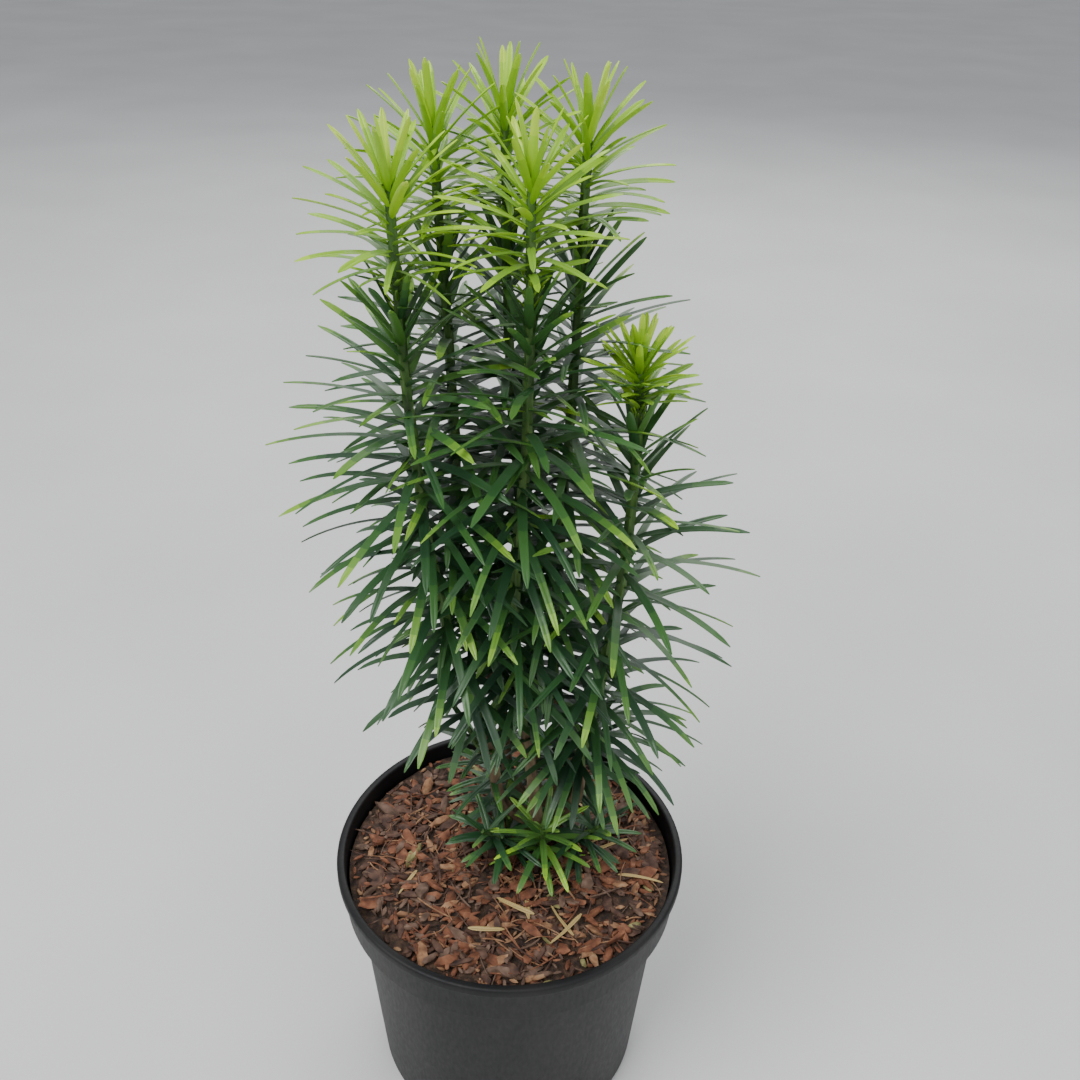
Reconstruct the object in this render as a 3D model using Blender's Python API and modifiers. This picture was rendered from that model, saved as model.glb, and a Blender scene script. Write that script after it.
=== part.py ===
"""Potted plum yew: six upright shoots of flat needles, rising from bark mulch in a round black nursery pot.

Every shoot leans along a smooth line through its way points. Its bare foot is a bough, and above that it is
three growths of needles, each a node of its own: lower, middle and tip. Short sprigs stand round the foot.
Needles sit on a golden-angle spiral, and their length, rise and droop follow a table for each kind of growth.
"""

import math
import random
from typing import NamedTuple

import bmesh
import bpy
import numpy as np
from mathutils import Vector
from mathutils.bvhtree import BVHTree

MM = 0.001
GAP = 0.3 * MM
WELD = 0.001 * MM

# The pot is a three litre container, turned, with a wide collar under its lip.
POT_HEIGHT = 150 * MM
POT_SIDES = 40
LIP_RADIUS = 95 * MM
LIP_HEIGHT = 5 * MM
LIP_ROUND = 1 * MM
COLLAR_RADIUS = 92.3 * MM
COLLAR_DEPTH = 27 * MM
STEP_DROP = 3 * MM
SHOULDER_RADIUS = 84.5 * MM
FOOT_RADIUS = 75.5 * MM
FOOT_ROUND = 1.5 * MM
WALL = 1.7 * MM
FLOOR = 2.5 * MM
DRAIN_COUNT = 6
DRAIN_RADIUS = 4.5 * MM
DRAIN_CIRCLE = 58 * MM

# The filling reaches the mulch, a low uneven dome under the rim.
MULCH_EDGE = 140 * MM
MULCH_CROWN = 2 * MM
MULCH_RELIEF = 1.3 * MM
MULCH_WAVE = 21 * MM
MULCH_RINGS = 7
MULCH_SIDES = 36
LEVEL_PATCH = 15 * MM
LEVEL_BLEND = 10 * MM

# The trunk is a short stool that forks at once.
TRUNK_X = 15 * MM
TRUNK_Y = 13 * MM
TRUNK_FLARE = 10 * MM
TRUNK_RADIUS = 7 * MM
TRUNK_TOP_RADIUS = 5 * MM
TRUNK_HEIGHT = 20 * MM
STUB_REACH = 13 * MM
STUB_TILT = math.radians(45)
STUB_RADIUS = 3.5 * MM
STUB_RUN_ON = 4 * MM

# Stems taper with height above the mulch.
STEM_FOOT_RADIUS = 3.2 * MM
STEM_TOP_RADIUS = 1.9 * MM
STEM_TOP_HEIGHT = 470 * MM
STEM_END_RADIUS = 1.2 * MM
STEM_END_LENGTH = 12 * MM
SPRIG_RADIUS = 1.8 * MM
SPRIG_UPRIGHT = 2 * MM
END_RUN = 2 * MM
STEM_STEP = 16 * MM

# A solid needle stands for about three real ones, so it is a little wide.
NEEDLE_WIDTH = 6.5 * MM
NEEDLE_THICKNESS = 1 * MM
NEEDLE_BELLY = 0.42
ROOT_SINK = 0.6
KEEP_EVERY = 3
CLEAR_WIDTH = 1.2
CLEAR_THICKNESS = 2.4
CLEAR_LENGTH = 1.04
CLEAR_FLOOR = 1.5 * MM
GOLDEN_TURN = math.radians(137.508)
TURN_JITTER = math.radians(8)
RISE_JITTER = math.radians(6)
LENGTH_JITTER = 0.08
FALLBACKS = ((1.0, 0.0), (1.0, 0.2), (1.0, -0.2), (0.8, 0.0), (0.62, 0.1), (0.48, 0.0))


class Growth(NamedTuple):
    """How the needles of one kind of growth change from its foot to its top."""

    needles: int
    at: tuple[float, ...]
    length: tuple[float, ...]
    rise: tuple[float, ...]
    droop: tuple[float, ...]
    colour: tuple[float, float, float]


GROWTHS = {
    "tip": Growth(
        needles=44,
        at=(0.0, 0.2, 0.35, 0.6, 0.85, 1.0),
        length=(7, 10, 36, 40, 34, 26),
        rise=(55, 40, 12, 28, 55, 80),
        droop=(0, 5, 32, 25, 14, 6),
        colour=(0.36, 0.58, 0.06),
    ),
    "middle": Growth(
        needles=70,
        at=(0.0, 0.2, 0.5, 0.75, 0.9, 1.0),
        length=(48, 58, 61, 51, 37, 26),
        rise=(-2, 5, 14, 28, 48, 65),
        droop=(38, 36, 30, 22, 12, 6),
        colour=(0.07, 0.19, 0.04),
    ),
    "lower": Growth(
        needles=36,
        at=(0.0, 0.3, 0.6, 1.0),
        length=(36, 52, 58, 57),
        rise=(-8, -2, 4, 14),
        droop=(40, 45, 45, 40),
        colour=(0.04, 0.13, 0.04),
    ),
    "sprig": Growth(
        needles=26,
        at=(0.0, 0.4, 0.75, 1.0),
        length=(26, 31, 29, 22),
        rise=(2, 10, 28, 60),
        droop=(28, 30, 22, 10),
        colour=(0.03, 0.12, 0.05),
    ),
}


class Shoot(NamedTuple):
    """One upright shoot: where it leaves the trunk, its way points and where its growths start, in mm."""

    azimuth: float
    fork: float
    way: tuple[tuple[float, float, float], ...]
    starts: tuple[float, float, float]
    phase: float


SHOOTS = {
    "left_front": Shoot(195, 150, ((-11, 4, 213), (-32, -5, 304), (-45, -8, 424), (-48.5, -8, 510)), (236, 330, 456), 0.4),
    "left_back": Shoot(145, 156, ((-6, 24, 224), (-25, 21, 300), (-28, 21, 400), (-34.5, 23, 524)), (258, 345, 470), 1.1),
    "back_centre": Shoot(97, 157, ((10, 25, 230), (8, 29, 300), (-2, 32, 400), (-6, 34, 530)), (240, 340, 474), 2.3),
    "front_centre": Shoot(268, 156, ((10, 3, 208), (1, -4, 306), (6, -8, 410), (6, -8, 513)), (232, 330, 458), 0.9),
    "back_right": Shoot(45, 156, ((21, 20, 240), (22, 21, 330), (26, 22, 427), (28, 24, 525)), (246, 338, 470), 1.7),
    "right": Shoot(350, 150, ((37, 7, 212), (47, 3, 282), (54, 2, 366), (53, 2, 436)), (202, 248, 404), 2.9),
}


class Sprig(NamedTuple):
    """A short shoot that rises from the mulch beside the trunk, in mm."""

    foot: tuple[float, float]
    top: tuple[float, float, float]
    phase: float


SPRIGS = {
    "front": Sprig((17, -4), (18, -9, 172), 0.2),
    "left": Sprig((-1, 17), (-25, 14, 224), 1.3),
    "right": Sprig((31, 22), (47, 25, 222), 2.2),
    "back": Sprig((12, 32), (12, 50, 214), 0.7),
    "low_left": Sprig((2, 2), (-15, -7, 166), 1.9),
    "low_right": Sprig((33, 4), (48, -4, 168), 2.6),
    "low_back": Sprig((-2, 30), (-14, 44, 170), 0.5),
}


def clear_scene():
    """Remove whatever the scene holds, and make the two collections."""
    for obj in list(bpy.data.objects):
        bpy.data.objects.remove(obj)
    made = []
    for name in ("potted_plum_yew", "cutters"):
        collection = bpy.data.collections.new(name)
        bpy.context.scene.collection.children.link(collection)
        made.append(collection)
    return made


def finish(obj, colour, roughness):
    """Give an object a material of its own."""
    material = bpy.data.materials.new(obj.name + "_finish")
    material.use_nodes = True
    shader = material.node_tree.nodes["Principled BSDF"]
    shader.inputs["Base Color"].default_value = (*colour, 1.0)
    shader.inputs["Roughness"].default_value = roughness
    shader.inputs["Metallic"].default_value = 0.0
    obj.data.materials.clear()
    obj.data.materials.append(material)


def baked_mesh(obj, name, weld=True):
    """The object's evaluated shape in world space, with loose caps welded; the object itself is removed."""
    graph = bpy.context.evaluated_depsgraph_get()
    mesh = bpy.data.meshes.new_from_object(obj.evaluated_get(graph))
    mesh.transform(obj.matrix_world)
    mesh.name = name
    if weld:
        shape = bmesh.new()
        shape.from_mesh(mesh)
        bmesh.ops.remove_doubles(shape, verts=shape.verts, dist=WELD)
        shape.to_mesh(mesh)
        shape.free()
    bpy.data.objects.remove(obj)
    return mesh


def turned(name, profile, sides, collection):
    """A solid of revolution about Z from a profile that ends by running down its outer side."""
    mesh = bpy.data.meshes.new(name)
    edges = [(i, i + 1) for i in range(len(profile) - 1)]
    mesh.from_pydata([(radius, 0.0, height) for radius, height in profile], edges, [])
    obj = bpy.data.objects.new(name, mesh)
    collection.objects.link(obj)
    screw = obj.modifiers.new("Turn", "SCREW")
    screw.axis = "Z"
    screw.steps = sides
    screw.render_steps = sides
    screw.use_merge_vertices = True
    screw.merge_threshold = 0.01 * MM
    return obj


def collar_inside():
    """Radius inside the collar."""
    return COLLAR_RADIUS - WALL


def body_inside(height):
    """Radius inside the tapering body at a height."""
    shoulder = POT_HEIGHT - COLLAR_DEPTH - STEP_DROP
    share = height / shoulder
    return FOOT_RADIUS + (SHOULDER_RADIUS - FOOT_RADIUS) * share - WALL


def make_pot(collection, cutters):
    """The nursery pot, with drain holes in its floor."""
    lip_foot = POT_HEIGHT - LIP_HEIGHT
    collar_foot = POT_HEIGHT - COLLAR_DEPTH
    shoulder = collar_foot - STEP_DROP
    profile = [
        (0.0, FLOOR),
        (body_inside(FLOOR), FLOOR),
        (body_inside(shoulder), shoulder + WALL),
        (collar_inside() - 1 * MM, collar_foot + WALL),
        (collar_inside(), POT_HEIGHT - LIP_ROUND),
        (collar_inside() + LIP_ROUND, POT_HEIGHT),
        (LIP_RADIUS - LIP_ROUND, POT_HEIGHT),
        (LIP_RADIUS, POT_HEIGHT - LIP_ROUND),
        (LIP_RADIUS, lip_foot + LIP_ROUND),
        (LIP_RADIUS - LIP_ROUND, lip_foot),
        (COLLAR_RADIUS, lip_foot),
        (COLLAR_RADIUS - 1 * MM, collar_foot),
        (SHOULDER_RADIUS, shoulder),
        (FOOT_RADIUS, FOOT_ROUND),
        (FOOT_RADIUS - FOOT_ROUND, 0.0),
        (0.0, 0.0),
    ]
    pot = turned("pot", profile, POT_SIDES, collection)
    for index in range(DRAIN_COUNT):
        angle = 2 * math.pi * (index + 0.5) / DRAIN_COUNT
        at = Vector((math.cos(angle), math.sin(angle), 0.0)) * DRAIN_CIRCLE
        bpy.ops.mesh.primitive_cylinder_add(
            vertices=12, radius=DRAIN_RADIUS, depth=4 * FLOOR, location=at
        )
        hole = bpy.context.object
        hole.name = f"drain_{index}"
        for home in list(hole.users_collection):
            home.objects.unlink(hole)
        cutters.objects.link(hole)
        hole.display_type = "WIRE"
        hole.hide_render = True
    drill = pot.modifiers.new("Drain", "BOOLEAN")
    drill.operation = "DIFFERENCE"
    drill.operand_type = "COLLECTION"
    drill.collection = cutters
    finish(pot, (0.012, 0.013, 0.014), 0.5)
    return pot


def mulch_height(x, y):
    """Height of the mulch: a low dome with shallow waves, level round the trunk's foot."""
    radius = math.hypot(x, y)
    dome = MULCH_CROWN * (1 - (radius / COLLAR_RADIUS) ** 2)
    wave = math.sin(x / MULCH_WAVE + 0.7) * math.cos(y / MULCH_WAVE - 0.4)
    ripple = math.sin((x + 1.7 * y) / (0.43 * MULCH_WAVE))
    off = math.hypot(x - TRUNK_X, y - TRUNK_Y)
    blend = min(max((off - LEVEL_PATCH) / LEVEL_BLEND, 0.0), 1.0)
    return MULCH_EDGE + dome + blend * MULCH_RELIEF * (0.7 * wave + 0.3 * ripple)


def trunk_foot():
    """Height of the level patch that the trunk stands on."""
    return MULCH_EDGE + MULCH_CROWN


def make_mulch(collection):
    """Potting mix and mulch in one solid that fills the pot."""
    shoulder = POT_HEIGHT - COLLAR_DEPTH - STEP_DROP
    top_radius = collar_inside() - 1 * MM - GAP
    profile = [(top_radius * i / MULCH_RINGS, MULCH_EDGE) for i in range(MULCH_RINGS + 1)]
    profile += [
        (top_radius, shoulder + STEP_DROP + WALL + GAP),
        (body_inside(shoulder) - GAP, shoulder + WALL),
        (body_inside(FLOOR) - GAP, FLOOR + GAP),
        (0.0, FLOOR + GAP),
    ]
    turned_fill = turned("mulch_turning", profile, MULCH_SIDES, collection)
    mesh = baked_mesh(turned_fill, "bark_mulch_fill")
    for vertex in mesh.vertices:
        x, y, z = vertex.co
        if z > MULCH_EDGE - GAP:
            off = math.hypot(x - TRUNK_X, y - TRUNK_Y)
            level = off < LEVEL_PATCH + 0.5 * LEVEL_BLEND
            vertex.co.z = trunk_foot() if level else mulch_height(x, y)
    fill = bpy.data.objects.new("bark_mulch_fill", mesh)
    collection.objects.link(fill)
    finish(fill, (0.09, 0.042, 0.022), 0.9)
    return fill


def stem_point(nodes, height):
    """The point of a stem's axis at a height, on a smooth curve through its nodes."""
    levels = nodes[:, 2]
    slopes = np.gradient(nodes[:, :2], levels, axis=0)
    i = int(np.clip(np.searchsorted(levels, height) - 1, 0, len(levels) - 2))
    span = levels[i + 1] - levels[i]
    t = (height - levels[i]) / span
    start, end = nodes[i, :2], nodes[i + 1, :2]
    place = (
        (2 * t**3 - 3 * t**2 + 1) * start
        + (t**3 - 2 * t**2 + t) * span * slopes[i]
        + (3 * t**2 - 2 * t**3) * end
        + (t**3 - t**2) * span * slopes[i + 1]
    )
    return Vector((place[0], place[1], height))


def ring_heights(low, high):
    """Heights of a stem's rings, with one close to each end so that the ends are cut square."""
    count = max(2, round((high - low) / STEM_STEP))
    return [low, *np.linspace(low + END_RUN, high - END_RUN, count), high]


def stem_radius(height):
    """Radius of a shoot's stem at a height."""
    low = trunk_foot()
    share = min(max((height - low) / (STEM_TOP_HEIGHT - low), 0.0), 1.0)
    return STEM_FOOT_RADIUS + (STEM_TOP_RADIUS - STEM_FOOT_RADIUS) * share


def tube(name, points, radii, resolution, collection):
    """A tapering round limb through points, as a closed mesh object."""
    curve = bpy.data.curves.new(name, "CURVE")
    curve.dimensions = "3D"
    curve.bevel_depth = 1.0
    curve.bevel_resolution = resolution
    curve.use_fill_caps = True
    spline = curve.splines.new("POLY")
    spline.points.add(len(points) - 1)
    for point, co, radius in zip(spline.points, points, radii):
        point.co = (*co, 1.0)
        point.radius = radius
    guide = bpy.data.objects.new(name + "_guide", curve)
    collection.objects.link(guide)
    bpy.context.view_layer.update()
    obj = bpy.data.objects.new(name, baked_mesh(guide, name))
    collection.objects.link(obj)
    return obj


def fuse(base, helpers, collection):
    """Join every object of the helpers' collection to the base, keep the main body, and remove the helpers."""
    union = base.modifiers.new("Fuse", "BOOLEAN")
    union.operation = "UNION"
    union.operand_type = "COLLECTION"
    union.collection = helpers
    union.solver = "MANIFOLD"
    name = base.name
    mesh = baked_mesh(base, name, weld=False)
    for helper in list(helpers.objects):
        bpy.data.objects.remove(helper)
    drop_scraps(mesh)
    obj = bpy.data.objects.new(name, mesh)
    collection.objects.link(obj)
    return obj


def drop_scraps(mesh):
    """Keep only the largest body of a mesh, joined across its edges, which also fills sealed hollows."""
    shape = bmesh.new()
    shape.from_mesh(mesh)
    left = set(shape.faces)
    bodies = []
    while left:
        body = [left.pop()]
        for face in body:
            for edge in face.edges:
                near = [other for other in edge.link_faces if other in left]
                left.difference_update(near)
                body.extend(near)
        bodies.append(body)
    bodies.sort(key=len)
    for body in bodies[:-1]:
        bmesh.ops.delete(shape, geom=body, context="FACES")
    shape.to_mesh(mesh)
    shape.free()


def stub_point(shoot, reach):
    """A point at some reach from the trunk's axis along a shoot's stub, in metres."""
    angle = math.radians(shoot.azimuth)
    out = Vector((math.cos(angle), math.sin(angle), 0.0)) * math.sin(STUB_TILT)
    rise = Vector((0.0, 0.0, math.cos(STUB_TILT)))
    return Vector((TRUNK_X, TRUNK_Y, shoot.fork * MM)) + (out + rise) * reach


def shoot_nodes(shoot):
    """The points that a shoot's axis runs through: straight out of its stub, then by its way points."""
    straight = [stub_point(shoot, reach) for reach in (0.0, STUB_REACH, STUB_REACH + STUB_RUN_ON)]
    return np.array([*(tuple(point) for point in straight), *(np.array(p) * MM for p in shoot.way)])


def make_trunk(collection, helpers):
    """The forked stool: a flared trunk with a stub towards each bough."""
    low = trunk_foot() + GAP
    heights = (low, low + 4 * MM, low + 9 * MM, low + TRUNK_HEIGHT - 3 * MM, low + TRUNK_HEIGHT)
    radii = (TRUNK_FLARE, 0.84 * TRUNK_FLARE, TRUNK_RADIUS, TRUNK_RADIUS, TRUNK_TOP_RADIUS)
    points = [Vector((TRUNK_X, TRUNK_Y, height)) for height in heights]
    trunk = tube("trunk", points, radii, 3, collection)
    for name, shoot in SHOOTS.items():
        ends = [stub_point(shoot, 0.0), stub_point(shoot, STUB_REACH)]
        tube("stub_" + name, ends, (STUB_RADIUS, STEM_FOOT_RADIUS), 2, helpers)
    trunk = fuse(trunk, helpers, collection)
    finish(trunk, (0.16, 0.10, 0.06), 0.85)
    return trunk


def needle_line(root, outward, rise, droop, length):
    """Belly and tip of a needle that leaves at one rise and has bent down by the droop at its tip."""
    steps = 12
    place = root.copy()
    line = [place.copy()]
    for step in range(steps):
        angle = rise - droop * (step + 0.5) / steps
        place += (outward * math.cos(angle) + Vector((0, 0, math.sin(angle)))) * (length / steps)
        line.append(place.copy())
    return line[round(NEEDLE_BELLY * steps)], line[-1]


def needle_mesh(name, root, belly, tip, across, width, thickness):
    """One needle, shaped from an octahedron: its poles become root and tip, its waist the belly."""
    shape = bmesh.new()
    bmesh.ops.create_uvsphere(shape, u_segments=4, v_segments=2, radius=1.0)
    facing = (tip - root).cross(across).normalized()
    for vertex in shape.verts:
        x, y, z = vertex.co
        if z > 0.5:
            vertex.co = tip
        elif z < -0.5:
            vertex.co = root
        else:
            vertex.co = belly + across * (x * width / 2) + facing * (y * thickness / 2)
    mesh = bpy.data.meshes.new(name)
    shape.to_mesh(mesh)
    shape.free()
    return mesh


def tree_of(mesh):
    """A search tree of a mesh's faces, with its box."""
    points = [vertex.co.copy() for vertex in mesh.vertices]
    faces = [tuple(face.vertices) for face in mesh.polygons]
    box = np.array(points)
    return BVHTree.FromPolygons(points, faces), box.min(axis=0), box.max(axis=0)


class Space:
    """What stands in the plant so far, so that a new needle can be kept clear of other nodes."""

    def __init__(self, fill):
        self.trees = []
        self.floor = tree_of(fill.data)[0]

    def add(self, owner, mesh):
        self.trees.append((owner, *tree_of(mesh)))

    def ground(self, x, y):
        """Height of the mulch below a point, or the rim's height beyond it."""
        hit = self.floor.ray_cast(Vector((x, y, 2 * POT_HEIGHT)), Vector((0, 0, -1)))[0]
        return hit.z if hit else POT_HEIGHT

    def free(self, owner, mesh):
        """Whether a shape stays above the ground and clear of every other node."""
        tree, low, high = tree_of(mesh)
        for vertex in mesh.vertices:
            if vertex.co.z < self.ground(vertex.co.x, vertex.co.y) + CLEAR_FLOOR:
                return False
        for other, standing, its_low, its_high in self.trees:
            if other == owner or (low > its_high).any() or (high < its_low).any():
                continue
            if tree.overlap(standing):
                return False
        return True


class Mass(NamedTuple):
    """One growth of needles on its stretch of stem."""

    name: str
    kind: str
    nodes: np.ndarray
    low: float
    high: float
    phase: float
    seed: int
    sprig: bool


def mass_radius(mass, height):
    """Radius of a mass's stem, which narrows at the very end of a shoot."""
    radius = SPRIG_RADIUS if mass.sprig else stem_radius(height)
    if mass.kind not in ("tip", "sprig"):
        return radius
    share = min((mass.high - height) / STEM_END_LENGTH, 1.0)
    return STEM_END_RADIUS + (radius - STEM_END_RADIUS) * share


def list_masses(space):
    """Every mass, tips first, because they show the most."""
    masses = []
    seed = 0
    for kind_index, kind in ((2, "tip"), (1, "middle"), (0, "lower")):
        for name, shoot in SHOOTS.items():
            nodes = shoot_nodes(shoot)
            bounds = [*(start * MM for start in shoot.starts), nodes[-1, 2]]
            low, high = bounds[kind_index], bounds[kind_index + 1]
            top = high if kind == "tip" else high - GAP / 2
            seed += 1
            masses.append(
                Mass(f"foliage_{name}_{kind}", kind, nodes, low + GAP / 2, top, shoot.phase, seed, False)
            )
    for name, sprig in SPRIGS.items():
        x, y = (value * MM for value in sprig.foot)
        spots = [(x + dx * SPRIG_RADIUS, y + dy * SPRIG_RADIUS) for dx in (-1, 0, 1) for dy in (-1, 0, 1)]
        foot = max(space.ground(*spot) for spot in spots) + GAP
        top = np.array(sprig.top) * MM
        bend = np.array((0.65 * x + 0.35 * top[0], 0.65 * y + 0.35 * top[1], 0.5 * (foot + top[2])))
        nodes = np.array([(x, y, foot), (x, y, foot + SPRIG_UPRIGHT), bend, top])
        seed += 1
        masses.append(Mass(f"sprig_{name}", "sprig", nodes, foot, top[2], sprig.phase, seed, True))
    return masses


def make_stem(mass, collection):
    """A mass's own stretch of stem, six-sided."""
    heights = ring_heights(mass.low, mass.high)
    points = [stem_point(mass.nodes, height) for height in heights]
    return tube(mass.name, points, [mass_radius(mass, height) for height in heights], 1, collection)


def grow_needles(mass, space, helpers):
    """Needles up a mass's stem, each clear of every other node, or left out."""
    growth = GROWTHS[mass.kind]
    first = 0.22 if mass.sprig else 0.0
    for index in range(0, growth.needles, KEEP_EVERY):
        share = (index + 0.5) / growth.needles
        dice = random.Random(1000 * mass.seed + index)
        turn = mass.phase + index * GOLDEN_TURN + dice.uniform(-1, 1) * TURN_JITTER
        rise = math.radians(np.interp(share, growth.at, growth.rise)) + dice.uniform(-1, 1) * RISE_JITTER
        droop = math.radians(np.interp(share, growth.at, growth.droop))
        length = np.interp(share, growth.at, growth.length) * MM * (1 + dice.uniform(-1, 1) * LENGTH_JITTER)
        height = mass.low + (mass.high - mass.low) * (first + (0.985 - first) * share)
        axis = stem_point(mass.nodes, height)
        radius = mass_radius(mass, height)
        for shorten, swing in FALLBACKS:
            angle = turn + swing
            outward = Vector((math.cos(angle), math.sin(angle), 0.0))
            across = Vector((-outward.y, outward.x, 0.0))
            belly, tip = needle_line(axis, outward, rise, droop, length * shorten)
            root = axis - (belly - axis).normalized() * (ROOT_SINK * radius)
            belly_far, tip_far = needle_line(axis, outward, rise, droop, length * shorten * CLEAR_LENGTH)
            width, thickness = NEEDLE_WIDTH * min(1.0, length / (20 * MM)), NEEDLE_THICKNESS
            fat = needle_mesh(
                "fat", root, belly_far, tip_far, across, width * CLEAR_WIDTH, thickness * CLEAR_THICKNESS
            )
            clear = space.free(mass.name, fat)
            bpy.data.meshes.remove(fat)
            if clear:
                mesh = needle_mesh(f"needle_{index}", root, belly, tip, across, width, thickness)
                space.add(mass.name, mesh)
                helpers.objects.link(bpy.data.objects.new(f"needle_{index}", mesh))
                break


def make_boughs(collection, space):
    """The bare foot of each shoot, from its stub to its first growth."""
    for name, shoot in SHOOTS.items():
        nodes = shoot_nodes(shoot)
        low = stub_point(shoot, STUB_REACH + GAP).z
        high = shoot.starts[0] * MM - GAP / 2
        heights = ring_heights(low, high)
        points = [stem_point(nodes, height) for height in heights]
        bough = tube("bough_" + name, points, [stem_radius(h) for h in heights], 2, collection)
        finish(bough, (0.10, 0.13, 0.05), 0.75)
        space.add(bough.name, bough.data)


def make_masses(collection, helpers, space):
    """Stems first, so that needles keep clear of them all, then the needles, then the fusing."""
    masses = list_masses(space)
    stems = {}
    for mass in masses:
        stem = make_stem(mass, collection)
        stems[mass.name] = stem
        space.add(mass.name, stem.data)
    for mass in masses:
        grow_needles(mass, space, helpers)
        obj = fuse(stems[mass.name], helpers, collection)
        finish(obj, GROWTHS[mass.kind].colour, 0.45)


def main():
    """Build every piece in order, from the pot up."""
    collection, cutters = clear_scene()
    helpers = bpy.data.collections.new("to_fuse")
    bpy.context.scene.collection.children.link(helpers)
    helpers.hide_render = True
    pot = make_pot(collection, cutters)
    fill = make_mulch(collection)
    space = Space(fill)
    bpy.context.view_layer.update()
    graph = bpy.context.evaluated_depsgraph_get()
    space.add("pot", pot.evaluated_get(graph).data)
    trunk = make_trunk(collection, helpers)
    space.add("trunk", trunk.data)
    make_boughs(collection, space)
    make_masses(collection, helpers, space)
    for obj in collection.objects:
        obj.data.shade_smooth()
        obj.data.set_sharp_from_angle(angle=math.radians(35))
    for mesh in list(bpy.data.meshes):
        if not mesh.users:
            bpy.data.meshes.remove(mesh)


main()
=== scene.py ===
"""Potted plum yew, dressed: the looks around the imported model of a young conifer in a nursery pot.

The shoots, growths and sprigs stand on the same named lines and tables as the solids, with more needles,
and every needle is a shaped blade. Lengths are in metres unless a comment or a docstring says mm.
"""

import logging
import math
import random
from dataclasses import dataclass, field
from enum import Enum

import bpy
import numpy as np
from mathutils import Matrix, Vector

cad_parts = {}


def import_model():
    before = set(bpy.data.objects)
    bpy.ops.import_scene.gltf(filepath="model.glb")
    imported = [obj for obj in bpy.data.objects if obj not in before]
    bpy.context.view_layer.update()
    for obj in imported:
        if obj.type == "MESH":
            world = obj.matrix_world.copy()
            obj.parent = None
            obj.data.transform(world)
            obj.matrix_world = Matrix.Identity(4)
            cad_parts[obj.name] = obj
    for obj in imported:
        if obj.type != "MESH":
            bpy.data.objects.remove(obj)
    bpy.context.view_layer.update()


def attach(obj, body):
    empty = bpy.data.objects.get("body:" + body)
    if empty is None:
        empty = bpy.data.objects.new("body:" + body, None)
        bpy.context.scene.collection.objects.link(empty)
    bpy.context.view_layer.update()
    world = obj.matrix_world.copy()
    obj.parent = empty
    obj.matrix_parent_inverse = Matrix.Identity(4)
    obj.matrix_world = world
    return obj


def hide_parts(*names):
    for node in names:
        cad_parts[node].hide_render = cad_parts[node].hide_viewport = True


LOG = logging.getLogger("plum_yew")
MM = 0.001
BODY = "root"
SHARP_ANGLE = math.radians(50)

# The pot and its mulch, as in the solids.
POT_HEIGHT = 150 * MM
COLLAR_RADIUS = 92.3 * MM
MULCH_EDGE = 140 * MM
MULCH_CROWN = 2 * MM
MULCH_RELIEF = 1.3 * MM
MULCH_WAVE = 21 * MM
MULCH_RIPPLE = 0.43 * MULCH_WAVE
MULCH_RIPPLE_SKEW = 1.7
MULCH_PHASES = (0.7, -0.4)
MULCH_SHARES = (0.7, 0.3)
MULCH_REACH = 88.8 * MM
LEVEL_PATCH = 15 * MM
LEVEL_BLEND = 10 * MM
TRUNK_AT = (15 * MM, 13 * MM)
TRUNK_FOOT = MULCH_EDGE + MULCH_CROWN
TRUNK_CLEAR = 9 * MM

# The lines that the shoots and sprigs follow, as in the solids.
GAP = 0.3 * MM
STUB_REACH = 13 * MM
STUB_RUN_ON = 4 * MM
STUB_TILT = math.radians(45)
STEM_FOOT_RADIUS = 3.2 * MM
STEM_TOP_RADIUS = 1.9 * MM
STEM_TOP_HEIGHT = 470 * MM
STEM_END_RADIUS = 1.2 * MM
STEM_END_LENGTH = 12 * MM
SPRIG_RADIUS = 1.8 * MM
SPRIG_UPRIGHT = 2 * MM
SPRIG_BEND = 0.35


class Green(Enum):
    """The needles' tints, in linear light, from the oldest green to the youngest, then straw."""

    DEEP = (0.009, 0.036, 0.015)
    BOTTLE = (0.014, 0.054, 0.018)
    LEAF = (0.022, 0.080, 0.020)
    MID = (0.036, 0.115, 0.022)
    FRESH = (0.064, 0.170, 0.024)
    GRASS = (0.115, 0.260, 0.026)
    LIME = (0.195, 0.380, 0.028)
    BRIGHT = (0.275, 0.500, 0.016)
    YELLOW_GREEN = (0.380, 0.620, 0.022)
    PALE = (0.480, 0.690, 0.040)
    DRY = (0.400, 0.290, 0.110)


GREENS = list(Green)


@dataclass(frozen=True)
class NeedleFinish:
    """The waxy skin of a needle in one tint."""

    tint: Green
    roughness: float = 0.42
    coat: float = 0.12
    coat_roughness: float = 0.35

    def material(self) -> bpy.types.Material:
        """Make the material, with a plain base colour.

        Returns:
            The material.
        """
        made = bpy.data.materials.new("needle_" + self.tint.name.lower())
        made.use_nodes = True
        shader = made.node_tree.nodes["Principled BSDF"]
        shader.inputs["Base Color"].default_value = (*self.tint.value, 1.0)
        shader.inputs["Roughness"].default_value = self.roughness
        shader.inputs["Coat Weight"].default_value = self.coat
        shader.inputs["Coat Roughness"].default_value = self.coat_roughness
        return made


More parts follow.
